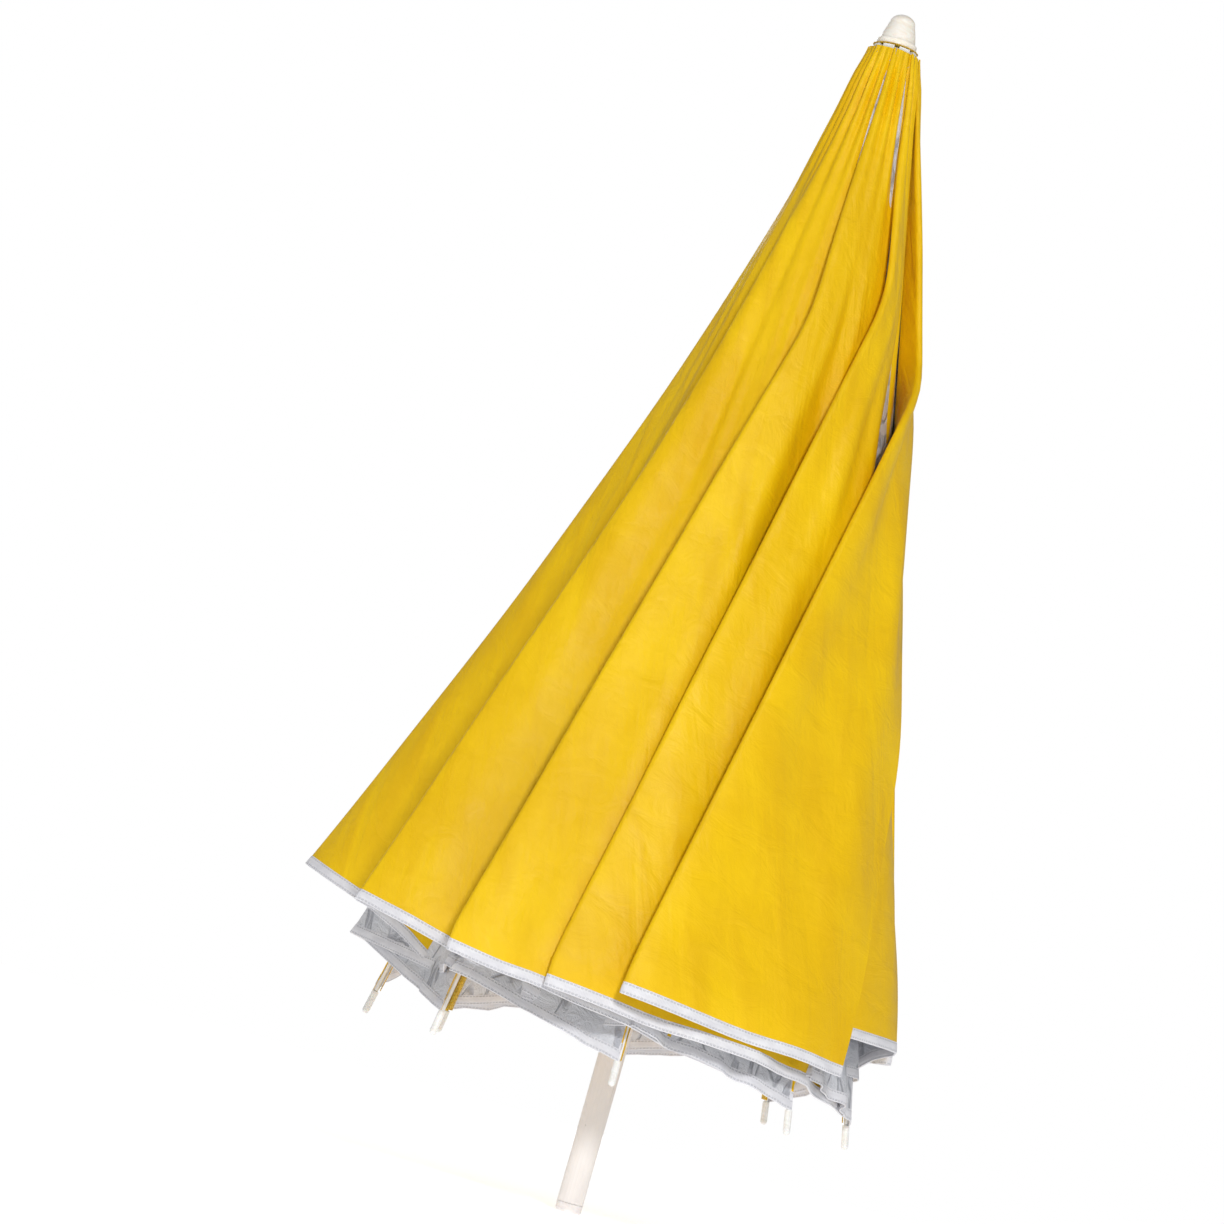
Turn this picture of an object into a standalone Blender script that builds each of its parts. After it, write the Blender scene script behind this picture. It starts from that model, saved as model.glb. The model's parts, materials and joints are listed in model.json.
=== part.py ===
"""The upper section of a beach umbrella, loosely folded: a tube pole, a crown and a runner that each
hold eight struts on a wire ring, and a canopy of eight gores whose slack is wrapped round the ribs.

Run with: blender --background --python part.py
The frame is +Z up the pole, with its origin at the centre of the pole plug's flat bottom.
"""

import math

import bmesh
import bpy
from mathutils import Matrix, Vector

# Clearances
SEAT_GAP = 0.0003  # between pieces that touch
SLIDE_GAP = 0.0006  # between the pole and what slides on it

# Pole
POLE_RADIUS = 0.011
POLE_WALL = 0.0012
POLE_TOP = 1.016
PLUG_HEIGHT = 0.008
PLUG_SHANK = 0.026

# Crown, which is at the top of the pole, and the wire ring that its ribs turn on
CROWN_Z = 0.999
RING_RADIUS = 0.016
WIRE_RADIUS = 0.0008
HEAD_HALF_HEIGHT = 0.007
HEAD_CORE_RADIUS = 0.0128
HEAD_RADIUS = 0.0187

# Finial cap and the cloth patch under it
PATCH_RADIUS = 0.0198
PATCH_THICKNESS = 0.0012
CAP_TOP = 1.037
CAP_RADIUS = 0.017
CAP_BAND = 0.005
CAP_NECK_RADIUS = 0.0155
CAP_NOSE_RADIUS = 0.0108
CAP_BORE_DEPTH = 0.0105

# Ribs
RIB_COUNT = 8
RIB_ANGLE = math.radians(12.0)  # from the pole, as folded here
RIB_LENGTH = 0.900
RIB_RADIUS = 0.00175
EYE_RADIUS = 0.0025
TIP_LENGTH = 0.020
TIP_RADIUS = 0.0029
TIP_SEAT = 0.012  # how much of the rib is inside its tip

# Stretchers, and the brackets that join them to the ribs
BRACKET_PLACE = 0.385  # along the rib, from the crown's ring
BRACKET_DROP = 0.0054  # of its pin from the rib's centre, towards the pole
BRACKET_WALL = 0.0011
BRACKET_LENGTH = 0.009
STRETCHER_RADIUS = 0.0015

# Runner, which has a head like the crown's, and its latch
SLEEVE_RADIUS = 0.0145
SLEEVE_LENGTH = 0.046
GRIP_RADIUS = 0.017
GRIP_HEIGHT = 0.004
LATCH_AZIMUTH = math.radians(270.0)
LATCH_PIVOT_RADIUS = 0.0180
LATCH_PIVOT_DROP = 0.024
LATCH_HALF_WIDTH = 0.003
LATCH_THICKNESS = 0.0018
LATCH_REACH_UP = 0.013
LATCH_REACH_DOWN = 0.0165
TOOTH_HALF_WIDTH = 0.0014
TOOTH_HEIGHT = 0.003
PIN_RADIUS = 0.001
EAR_WALL = 0.0016
EAR_HALF_HEIGHT = 0.0035
OPEN_ANGLE = math.radians(68.0)  # of a rib from the pole, with the umbrella open

# Canopy
CLOTH = 0.0006
CLOTH_TOP_RADIUS = 0.0197
CLOTH_TOP_SETTLE = 0.06  # how far down the cloth comes to lie on the ribs
HEM_ON_RIB = 0.888  # the cloth's length along a rib
HEM_FROM_TOP = 0.003  # where the gores start, as a share of their length
LAYER = 0.0038  # of radius for each rib that a flap passes
FLAP_SWELL = 2.5  # the power by which a flap rises to its fold
FOLD_DROP = 0.810  # of the folds' lower ends below the canopy's top
LEAST_WRAP = math.radians(4.0)  # by which each fold passes its gore's first rib
INNER_SHORT = math.radians(1.5)  # by which an inner half stops before its fold
ROWS = 11
COLUMN_TURN = math.radians(11.0)  # the most that one strip of a sheet turns round the pole

# For each gore, the fold of its flap: x of the fold's line high up, the share of the cloth's length
# where that line starts, x of the fold at the hem, its radius there, the power of its flare, and
# whether it is on the back
FOLDS = (
    (0.092, 0.33, -0.010, 0.2425, 1.00, False),
    (0.030, 0.12, 0.222, 0.232, 1.00, True),
    (0.006, 0.12, 0.100, 0.235, 1.00, True),
    (-0.026, 0.12, -0.100, 0.245, 1.00, True),
    (-0.030, 0.12, -0.288, 0.290, 1.30, False),
    (-0.004, 0.10, -0.225, 0.283, 1.25, False),
    (0.030, 0.10, -0.1555, 0.267, 1.15, False),
    (0.058, 0.19, -0.070, 0.2440, 1.05, False),
)

WHITE = (0.86, 0.86, 0.84)
STEEL = (0.62, 0.63, 0.65)
YELLOW = (0.84, 0.53, 0.01)


def spaced_azimuth(index):
    """The azimuth of rib number index, counted from 1 at +X."""
    return 2 * math.pi * (index - 1) / RIB_COUNT


def rib_point(along, drop=0.0):
    """A point at a distance along the first rib and a drop from its centre towards the pole."""
    down = Vector((math.sin(RIB_ANGLE), 0, -math.cos(RIB_ANGLE)))
    inward = Vector((-math.cos(RIB_ANGLE), 0, -math.sin(RIB_ANGLE)))
    return Vector((RING_RADIUS, 0, CROWN_Z)) + down * along + inward * drop


BRACKET_PIN = rib_point(BRACKET_PLACE, BRACKET_DROP)
RUNNER_Z = 2 * BRACKET_PIN.z - CROWN_Z  # the stretcher is as long as the rib above its pin
STRUT_LENGTH = (BRACKET_PIN - rib_point(0)).length
STRUT_ANGLE = math.atan2(BRACKET_PIN.x - RING_RADIUS, CROWN_Z - BRACKET_PIN.z)
RUNNER_RISE = 2 * STRUT_LENGTH * (math.cos(STRUT_ANGLE) - math.cos(STRUT_ANGLE + OPEN_ANGLE - RIB_ANGLE))
SLOT_WIDTH = 2 * (RIB_RADIUS + SEAT_GAP) + 0.0001
EYE_BORE = WIRE_RADIUS + SEAT_GAP + 0.0001
GORE_HALF_ANGLE = math.asin(math.sin(OPEN_ANGLE) * math.sin(math.pi / RIB_COUNT))
CLOTH_TOP_Z = CROWN_Z + HEAD_HALF_HEIGHT - 0.0005


# ---- Building blocks


def clear_scene():
    for obj in list(bpy.data.objects):
        bpy.data.objects.remove(obj, do_unlink=True)


def collection(name, hidden=False):
    made = bpy.data.collections.new(name)
    made.hide_render = hidden
    bpy.context.scene.collection.children.link(made)
    return made


def material(name, colour, roughness, metallic=0.0):
    made = bpy.data.materials.new(name)
    made.use_nodes = True
    shader = made.node_tree.nodes["Principled BSDF"]
    shader.inputs["Base Color"].default_value = (*colour, 1)
    shader.inputs["Roughness"].default_value = roughness
    shader.inputs["Metallic"].default_value = metallic
    return made


def add(name, mesh, look, matrix=None):
    """A sub-part with its own material, in the umbrella's collection."""
    obj = bpy.data.objects.new(name, mesh)
    obj.matrix_world = matrix or Matrix()
    UMBRELLA.objects.link(obj)
    if not mesh.materials:
        mesh.materials.append(look)
    obj.material_slots[0].link = "OBJECT"
    obj.material_slots[0].material = look
    return obj


def helper(mesh):
    """A shape that only cuts or joins."""
    obj = bpy.data.objects.new("shape", mesh)
    HELPERS.objects.link(obj)
    obj.hide_render = True
    obj.display_type = "WIRE"
    return obj


def mesh_from(build):
    mesh = bpy.data.meshes.new("shape")
    work = bmesh.new()
    build(work)
    work.to_mesh(mesh)
    work.free()
    return mesh


def block(low, high):
    """A box between two corners."""
    low, high = Vector(low), Vector(high)
    place = Matrix.Translation((low + high) / 2) @ Matrix.Diagonal((*(high - low), 1))
    return mesh_from(lambda work: bmesh.ops.create_cube(work, size=1, matrix=place))


def rod(start, end, radius, sides=10):
    """A round bar between two points."""
    start, end = Vector(start), Vector(end)
    turn = (end - start).to_track_quat("Z", "Y").to_matrix().to_4x4()
    place = Matrix.Translation((start + end) / 2) @ turn
    return mesh_from(
        lambda work: bmesh.ops.create_cone(
            work, cap_ends=True, segments=sides, radius1=radius, radius2=radius,
            depth=(end - start).length, matrix=place,
        )
    )


def ring(radius, thickness, height, around=32, across=6):
    """A wire ring round the pole."""

    def build(work):
        rows = []
        for i in range(around):
            turn = 2 * math.pi * i / around
            row = []
            for j in range(across):
                tilt = 2 * math.pi * j / across
                out = radius + thickness * math.cos(tilt)
                place = (out * math.cos(turn), out * math.sin(turn), height + thickness * math.sin(tilt))
                row.append(work.verts.new(place))
            rows.append(row)
        for i in range(around):
            for j in range(across):
                this, following = rows[i], rows[(i + 1) % around]
                side = (j + 1) % across
                work.faces.new((this[j], following[j], following[side], this[side]))

    return mesh_from(build)


def turned(outline, steps=24):
    """A turned shape: its outline runs down the outer side, as pairs of radius and height."""
    count = len(outline)
    is_ring = min(radius for radius, height in outline) > 0
    edges = [(i, i + 1) for i in range(count - 1)]
    if is_ring:
        edges.append((count - 1, 0))
    mesh = bpy.data.meshes.new("outline")
    mesh.from_pydata([(radius, 0, height) for radius, height in outline], edges, [])
    obj = helper(mesh)
    screw = obj.modifiers.new("turn", "SCREW")
    screw.steps = screw.render_steps = steps
    screw.use_merge_vertices = True
    screw.merge_threshold = 0.00001
    return settled(obj)


def settled(obj):
    """The mesh of a helper with its modifiers applied; the helper itself is removed."""
    bpy.context.view_layer.update()
    graph = bpy.context.evaluated_depsgraph_get()
    mesh = bpy.data.meshes.new_from_object(obj.evaluated_get(graph))
    bpy.data.objects.remove(obj, do_unlink=True)
    return mesh


def combined(base, *steps):
    """The base mesh after each Boolean step, which is a pair of UNION or DIFFERENCE and a mesh."""
    obj = helper(base)
    tools = []
    for operation, mesh in steps:
        tools.append(helper(mesh))
        boolean = obj.modifiers.new(operation.lower(), "BOOLEAN")
        boolean.operation = operation
        boolean.solver = "EXACT"
        boolean.object = tools[-1]
    result = settled(obj)
    for tool in tools:
        bpy.data.objects.remove(tool, do_unlink=True)
    return result


def smooth(mesh, angle=40):
    mesh.shade_smooth()
    mesh.set_sharp_from_angle(angle=math.radians(angle))
    return mesh


def about(mesh, point):
    """The mesh with its origin moved to a point, and the matrix that puts it back."""
    mesh.transform(Matrix.Translation(-Vector(point)))
    return mesh, Matrix.Translation(point)


def round_pole(azimuth):
    return Matrix.Rotation(azimuth, 4, "Z")


# ---- Pole, crown and cap


def pole():
    bottom = PLUG_HEIGHT + SEAT_GAP
    inner = POLE_RADIUS - POLE_WALL
    tube = turned([(POLE_RADIUS, POLE_TOP), (POLE_RADIUS, bottom), (inner, bottom), (inner, POLE_TOP)])
    tooth_top = RUNNER_Z - LATCH_PIVOT_DROP + LATCH_REACH_UP
    catch_z = tooth_top + RUNNER_RISE - TOOTH_HEIGHT / 2
    hole = rod((0, 0, catch_z), (POLE_RADIUS * 2, 0, catch_z), TOOTH_HEIGHT * 0.75, 16)
    hole.transform(round_pole(LATCH_AZIMUTH))
    tube = combined(tube, ("DIFFERENCE", hole))
    add("pole_tube", smooth(tube), material("pole_tube", WHITE, 0.35))

    shank = POLE_RADIUS - POLE_WALL - SEAT_GAP
    bevel = 0.0025
    plug = [(0, PLUG_HEIGHT + PLUG_SHANK), (shank, PLUG_HEIGHT + PLUG_SHANK), (shank, PLUG_HEIGHT)]
    plug.append((POLE_RADIUS, PLUG_HEIGHT))
    for step in range(5):
        turn = math.pi / 2 * step / 4
        radius = POLE_RADIUS - bevel + bevel * math.cos(turn)
        plug.append((radius, bevel - bevel * math.sin(turn)))
    plug.append((0, 0))
    add("pole_plug", smooth(turned(plug)), material("pole_plug", WHITE, 0.45))


def notched_head(outline, height, bore_seat):
    """A turned head with a slot for each strut and a channel for the wire ring."""
    head = turned(outline, 32)
    steps = []
    for index in range(RIB_COUNT):
        slot = block(
            (HEAD_CORE_RADIUS, -SLOT_WIDTH / 2, height - bore_seat),
            (HEAD_RADIUS * 1.5, SLOT_WIDTH / 2, height + 2 * HEAD_HALF_HEIGHT),
        )
        slot.transform(round_pole(spaced_azimuth(index + 1)))
        steps.append(("DIFFERENCE", slot))
    steps.append(("DIFFERENCE", ring(RING_RADIUS, WIRE_RADIUS + SEAT_GAP, height)))
    return combined(head, *steps)


def crown():
    bore = POLE_RADIUS + SEAT_GAP
    top, bottom = CROWN_Z + HEAD_HALF_HEIGHT, CROWN_Z - HEAD_HALF_HEIGHT
    outline = [(HEAD_RADIUS, top), (HEAD_RADIUS, bottom), (bore, bottom), (bore, top)]
    hub = notched_head(outline, CROWN_Z, 2 * HEAD_HALF_HEIGHT)
    add("crown_hub", smooth(hub), material("crown_hub", WHITE, 0.45))
    wire = ring(RING_RADIUS, WIRE_RADIUS, CROWN_Z)
    add("crown_wire", smooth(wire), material("crown_wire", STEEL, 0.3, 1.0))

    patch_bottom = top + SEAT_GAP
    patch_top = patch_bottom + PATCH_THICKNESS
    patch = [(PATCH_RADIUS, patch_top), (PATCH_RADIUS, patch_bottom), (bore, patch_bottom), (bore, patch_top)]
    add("canopy_top_patch", smooth(turned(patch)), material("canopy_top_patch", YELLOW, 0.6))
    finial(patch_top + SEAT_GAP, bore)


def finial(bottom, bore):
    shoulder = bottom + CAP_BAND
    nose = CAP_TOP - CAP_NOSE_RADIUS * 0.75
    outline = [(0, CAP_TOP)]
    for step in range(1, 7):
        turn = math.pi / 2 * step / 6
        outline.append((CAP_NOSE_RADIUS * math.sin(turn), nose + (CAP_TOP - nose) * math.cos(turn)))
    outline += [
        (CAP_NECK_RADIUS - 0.0012, shoulder + 0.0045),
        (CAP_NECK_RADIUS, shoulder + 0.0008),
        (CAP_RADIUS - 0.0006, shoulder),
        (CAP_RADIUS, shoulder - 0.0008),
        (CAP_RADIUS, bottom),
        (bore, bottom),
        (bore, bottom + CAP_BORE_DEPTH),
        (0, bottom + CAP_BORE_DEPTH),
    ]
    add("finial_cap", smooth(turned(outline)), material("finial_cap", WHITE, 0.4))


# ---- Ribs and stretchers


def eye_at(point):
    """A round boss across the strut, which the ring's wire or a pin goes through."""
    side = Vector((0, RIB_RADIUS, 0))
    return rod(point - side, point + side, EYE_RADIUS, 12)


def bore_at(point, radius):
    side = Vector((0, 3 * RIB_RADIUS, 0))
    return rod(point - side, point + side, radius, 10)


def strut(start, end, radius, bores):
    steps = [("UNION", eye_at(point)) for point in bores]
    steps += [("DIFFERENCE", bore_at(point, EYE_BORE)) for point in bores]
    return combined(rod(start, end, radius), *steps)


def ribs():
    hinge = rib_point(0)
    clear = WIRE_RADIUS + SEAT_GAP + 0.0008
    rib = strut(rib_point(clear), rib_point(RIB_LENGTH), RIB_RADIUS, [hinge])
    rib, back = about(smooth(rib), hinge)
    tip = rib_tip()
    tip.transform(Matrix.Translation(-hinge))
    bracket = rib_bracket()
    bracket.transform(Matrix.Translation(-hinge))
    for index in range(1, RIB_COUNT + 1):
        place = round_pole(spaced_azimuth(index)) @ back
        add(f"rib_{index}", rib, material(f"rib_{index}", WHITE, 0.4), place)
        add(f"rib_tip_{index}", tip, material(f"rib_tip_{index}", WHITE, 0.5), place)
        add(f"rib_bracket_{index}", bracket, material(f"rib_bracket_{index}", STEEL, 0.35, 1.0), place)


def rib_tip():
    """A blind sleeve on the rib's end, with a ball nose."""
    bore = RIB_RADIUS + SEAT_GAP
    nose = TIP_SEAT + SEAT_GAP
    outline = [(0, -nose), (bore, -nose), (bore, 0), (TIP_RADIUS, 0)]
    flank = TIP_LENGTH - TIP_RADIUS
    for step in range(4):
        turn = math.pi / 2 * step / 3
        outline.append((TIP_RADIUS * math.cos(turn) if step < 3 else 0, -flank - TIP_RADIUS * math.sin(turn)))
    tip = turned(outline, 10)
    start = rib_point(RIB_LENGTH - TIP_SEAT)
    tip.transform(Matrix.Translation(start) @ Matrix.Rotation(-RIB_ANGLE, 4, "Y"))
    return smooth(tip)


def rib_bracket():
    """A channel under the rib: a web, two ears and the pin of the stretcher."""
    inner = RIB_RADIUS + SEAT_GAP
    outer = inner + BRACKET_WALL
    half = BRACKET_LENGTH / 2
    depth = BRACKET_DROP + EYE_RADIUS
    web = block((-inner - 0.0006, -outer, -half), (-inner, outer, half))
    steps = []
    for side in (-1, 1):
        low, high = sorted((side * inner, side * outer))
        steps.append(("UNION", block((-depth, low, -half), (RIB_RADIUS * 0.6, high, half))))
    pin = rod((-BRACKET_DROP, -outer - 0.0004, 0), (-BRACKET_DROP, outer + 0.0004, 0), WIRE_RADIUS)
    steps.append(("UNION", pin))
    bracket = combined(web, *steps)
    bracket.transform(Matrix.Translation(rib_point(BRACKET_PLACE)) @ Matrix.Rotation(-RIB_ANGLE, 4, "Y"))
    return bracket


def stretchers():
    lower = Vector((RING_RADIUS, 0, RUNNER_Z))
    down = (lower - BRACKET_PIN).normalized()
    clear = WIRE_RADIUS + SEAT_GAP + 0.0008
    stretcher = strut(BRACKET_PIN + down * clear, lower - down * clear, STRETCHER_RADIUS, [BRACKET_PIN, lower])
    stretcher, back = about(smooth(stretcher), BRACKET_PIN)
    for index in range(1, RIB_COUNT + 1):
        place = round_pole(spaced_azimuth(index)) @ back
        add(f"stretcher_{index}", stretcher, material(f"stretcher_{index}", WHITE, 0.4), place)


# ---- Runner and latch


def runner():
    bore = POLE_RADIUS + SLIDE_GAP
    top, shelf = RUNNER_Z + HEAD_HALF_HEIGHT, RUNNER_Z - HEAD_HALF_HEIGHT
    bottom = RUNNER_Z - SLEEVE_LENGTH
    outline = [
        (HEAD_RADIUS, top),
        (HEAD_RADIUS, shelf),
        (SLEEVE_RADIUS, shelf - 0.002),
        (SLEEVE_RADIUS, bottom + GRIP_HEIGHT + 0.001),
        (GRIP_RADIUS, bottom + GRIP_HEIGHT),
        (GRIP_RADIUS, bottom),
        (bore, bottom),
        (bore, top),
    ]
    body = notched_head(outline, RUNNER_Z, HEAD_HALF_HEIGHT * 0.6)
    add("runner", smooth(latch_seat(body, bore)), material("runner", WHITE, 0.45))
    wire = ring(RING_RADIUS, WIRE_RADIUS, RUNNER_Z)
    add("runner_wire", smooth(wire), material("runner_wire", STEEL, 0.3, 1.0))


def latch_seat(body, bore):
    """The runner with the latch's two ears, their pin holes and the window for its tooth."""
    pivot_z = RUNNER_Z - LATCH_PIVOT_DROP
    near, far = ear_faces()
    steps = []
    for side in (-1, 1):
        low, high = sorted((side * near, side * far))
        corner = (SLEEVE_RADIUS - 0.001, low, pivot_z - EAR_HALF_HEIGHT)
        ear = block(corner, (LATCH_PIVOT_RADIUS + 0.002, high, pivot_z + EAR_HALF_HEIGHT))
        steps.append(("UNION", ear))
    hole = rod((LATCH_PIVOT_RADIUS, -2 * far, pivot_z), (LATCH_PIVOT_RADIUS, 2 * far, pivot_z), pin_bore())
    steps.append(("DIFFERENCE", hole))
    tooth_top = pivot_z + LATCH_REACH_UP
    side = TOOTH_HALF_WIDTH + SLIDE_GAP
    window = block(
        (bore - 0.001, -side, tooth_top - TOOTH_HEIGHT - 0.0015),
        (SLEEVE_RADIUS + 0.001, side, tooth_top + 0.0015),
    )
    steps.append(("DIFFERENCE", window))
    for operation, mesh in steps:
        mesh.transform(round_pole(LATCH_AZIMUTH))
    return combined(body, *steps)


def ear_faces():
    near = LATCH_HALF_WIDTH + SLIDE_GAP
    return near, near + EAR_WALL


def pin_bore():
    return PIN_RADIUS + SEAT_GAP


def latch():
    pivot_z = RUNNER_Z - LATCH_PIVOT_DROP
    pivot = Vector((LATCH_PIVOT_RADIUS, 0, pivot_z))
    face = LATCH_PIVOT_RADIUS - 0.0012
    width = LATCH_HALF_WIDTH
    plate = block(
        (face, -width, pivot_z - LATCH_REACH_DOWN),
        (face + LATCH_THICKNESS, width, pivot_z + LATCH_REACH_UP),
    )
    tooth_top = pivot_z + LATCH_REACH_UP
    tooth = block(
        (POLE_RADIUS + SLIDE_GAP, -TOOTH_HALF_WIDTH, tooth_top - TOOTH_HEIGHT),
        (face + LATCH_THICKNESS / 2, TOOTH_HALF_WIDTH, tooth_top - 0.0002),
    )
    side = Vector((0, width, 0))
    boss = rod(pivot - side, pivot + side, 0.0023, 16)
    hole = rod(pivot - 2 * side, pivot + 2 * side, pin_bore())
    lever = combined(plate, ("UNION", tooth), ("UNION", boss), ("DIFFERENCE", hole))
    lever, back = about(lever, pivot)
    turn = round_pole(LATCH_AZIMUTH)
    add("latch_lever", smooth(lever, 30), material("latch_lever", WHITE, 0.45), turn @ back)
    reach = Vector((0, ear_faces()[1], 0))
    pin = rod(pivot - reach, pivot + reach, PIN_RADIUS)
    pin, back = about(pin, pivot)
    add("latch_pin", smooth(pin), material("latch_pin", STEEL, 0.3, 1.0), turn @ back)


# ---- Canopy


def length_at(across):
    """The cloth's length from the top to the hem, from 0 on a rib to 1 on the fold between two ribs."""
    return HEM_ON_RIB * math.cos(GORE_HALF_ANGLE) / math.cos((1 - across) * GORE_HALF_ANGLE)


def on_ribs(drop):
    """The radius of cloth that lies on the ribs, at a drop below the canopy's top."""
    lying = (RIB_RADIUS + SEAT_GAP + CLOTH / 2 + 0.0001) / math.cos(RIB_ANGLE)
    above_ring = CLOTH_TOP_Z - CROWN_Z
    on_rib = RING_RADIUS + (drop - above_ring) * math.tan(RIB_ANGLE) + lying
    at_top = RING_RADIUS - above_ring * math.tan(RIB_ANGLE) + lying
    return on_rib + (CLOTH_TOP_RADIUS - at_top) * max(0, 1 - drop / CLOTH_TOP_SETTLE)


def fold_radius(gore, share):
    """The radius of a gore's fold, at a share of the way down to the hem."""
    radius, flare = FOLDS[gore][3:5]
    return CLOTH_TOP_RADIUS + (radius - CLOTH_TOP_RADIUS) * min(1, share) ** flare


def fold_azimuth(gore, share):
    """The azimuth of a gore's fold, counted down from its second rib so that it never wraps."""
    x_top, share_top, x_hem, radius, flare, is_back = FOLDS[gore]
    line = min(1, max(share, share_top))
    x = x_top + (x_hem - x_top) * (line - share_top) / (1 - share_top)
    turn = math.acos(max(-1, min(1, x / fold_radius(gore, line))))
    azimuth = turn if is_back else 2 * math.pi - turn
    if azimuth > spaced_azimuth(gore + 4):
        azimuth -= 2 * math.pi
    return min(azimuth, spaced_azimuth(gore + 1) - LEAST_WRAP)


def layers_at(share):
    """The rise of a flap for each rib that it passes: the cloth is packed closest at the top."""
    return LAYER * min(1, 0.4 + 3 * share)


def outer_radius(gore, drop, azimuth):
    """The radius of a gore's outer half, which runs from its second rib to the fold."""
    share = drop / FOLD_DROP
    passed = spaced_azimuth(gore + 2) - azimuth
    across = passed / (spaced_azimuth(gore + 2) - fold_azimuth(gore, share))
    rise = layers_at(share) * passed / (2 * math.pi / RIB_COUNT)
    swell = max(0, fold_radius(gore, share) - on_ribs(drop)) * min(1, across) ** FLAP_SWELL
    return on_ribs(drop) + rise + swell


def inner_radius(gore, drop, azimuth):
    """The radius of a gore's inner half, which lies between its outer half and the flap below it."""
    above = outer_radius(gore, drop, azimuth)
    below = above - layers_at(drop / FOLD_DROP)
    lower, wrapped = (gore - 1, azimuth) if gore else (RIB_COUNT - 1, azimuth + 2 * math.pi)
    if wrapped > fold_azimuth(lower, drop / FOLD_DROP):
        below = outer_radius(lower, drop, wrapped)
    return (above + below) / 2


def cloth_point(length, radius_at):
    """The drop of a point of cloth whose length from the canopy's top is known, and its radius."""
    drop = length
    for step in range(12):
        radius = radius_at(drop)
        drop = math.sqrt(max(0, length**2 - (radius - CLOTH_TOP_RADIUS) ** 2))
    return drop, radius_at(drop)


def half_gore(gore, is_outer):
    """Half a gore as folded here, as a grid of points from its rib to the fold."""
    rib = spaced_azimuth(gore + (2 if is_outer else 1))
    radius_of = outer_radius if is_outer else inner_radius
    columns = 2 + int((rib - fold_azimuth(gore, 1)) / COLUMN_TURN) if is_outer else 0
    columns = columns or 3 + int(max(0, rib - fold_azimuth(gore, 1)) / COLUMN_TURN)
    grid = []
    for row in range(ROWS):
        share = HEM_FROM_TOP + (1 - HEM_FROM_TOP) * row / (ROWS - 1)
        line = []
        for column in range(columns + 1):
            across = column / columns

            def azimuth_at(drop):
                fold = fold_azimuth(gore, drop / FOLD_DROP)
                return rib + (fold + (0 if is_outer else INNER_SHORT) - rib) * across

            length = share * length_at(across)
            drop, radius = cloth_point(length, lambda down: radius_of(gore, down, azimuth_at(down)))
            azimuth = azimuth_at(drop)
            place = (radius * math.cos(azimuth), radius * math.sin(azimuth), CLOTH_TOP_Z - drop)
            line.append(Vector(place))
        grid.append(line)
    return grid


def sheet(grid):
    def build(work):
        rows = [[work.verts.new(point) for point in line] for line in grid]
        for upper, lower in zip(rows, rows[1:]):
            for left in range(len(upper) - 1):
                work.faces.new((upper[left], upper[left + 1], lower[left + 1], lower[left]))

    obj = helper(mesh_from(build))
    shell = obj.modifiers.new("cloth", "SOLIDIFY")
    shell.thickness = CLOTH
    shell.offset = 0
    shell.use_even_offset = True
    return settled(obj)


def canopy():
    for gore in range(RIB_COUNT):
        for is_outer in (True, False):
            side = "outer" if is_outer else "inner"
            name = f"canopy_{side}_{gore + 1}"
            hinge = round_pole(spaced_azimuth(gore + (2 if is_outer else 1))) @ rib_point(0)
            mesh, back = about(smooth(sheet(half_gore(gore, is_outer))), hinge)
            add(name, mesh, material(name, YELLOW, 0.55), back)


clear_scene()
UMBRELLA = collection("beach_umbrella")
HELPERS = collection("helpers", hidden=True)
pole()
crown()
ribs()
stretchers()
runner()
latch()
canopy()
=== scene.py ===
import json
import math

import bpy
import numpy as np
from mathutils import Matrix, Vector


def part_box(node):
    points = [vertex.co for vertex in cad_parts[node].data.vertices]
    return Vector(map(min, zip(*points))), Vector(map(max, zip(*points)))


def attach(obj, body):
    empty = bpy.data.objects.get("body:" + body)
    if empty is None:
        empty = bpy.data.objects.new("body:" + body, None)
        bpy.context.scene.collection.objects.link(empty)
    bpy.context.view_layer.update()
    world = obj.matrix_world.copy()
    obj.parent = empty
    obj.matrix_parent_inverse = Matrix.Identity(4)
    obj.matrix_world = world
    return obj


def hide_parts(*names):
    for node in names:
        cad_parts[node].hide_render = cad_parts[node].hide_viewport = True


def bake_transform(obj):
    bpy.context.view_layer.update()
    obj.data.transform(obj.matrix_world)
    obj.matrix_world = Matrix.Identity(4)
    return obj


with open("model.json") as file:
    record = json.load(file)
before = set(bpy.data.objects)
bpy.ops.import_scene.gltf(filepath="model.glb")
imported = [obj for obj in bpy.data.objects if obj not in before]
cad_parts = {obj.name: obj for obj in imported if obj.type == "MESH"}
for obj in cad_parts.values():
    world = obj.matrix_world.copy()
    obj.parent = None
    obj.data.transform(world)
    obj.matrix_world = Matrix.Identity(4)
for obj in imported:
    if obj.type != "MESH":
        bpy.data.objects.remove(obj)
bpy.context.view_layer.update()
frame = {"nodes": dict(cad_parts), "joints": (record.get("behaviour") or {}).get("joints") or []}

# ---- Sizes that the canopy shares with the CAD model, in metres and degrees

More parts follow.
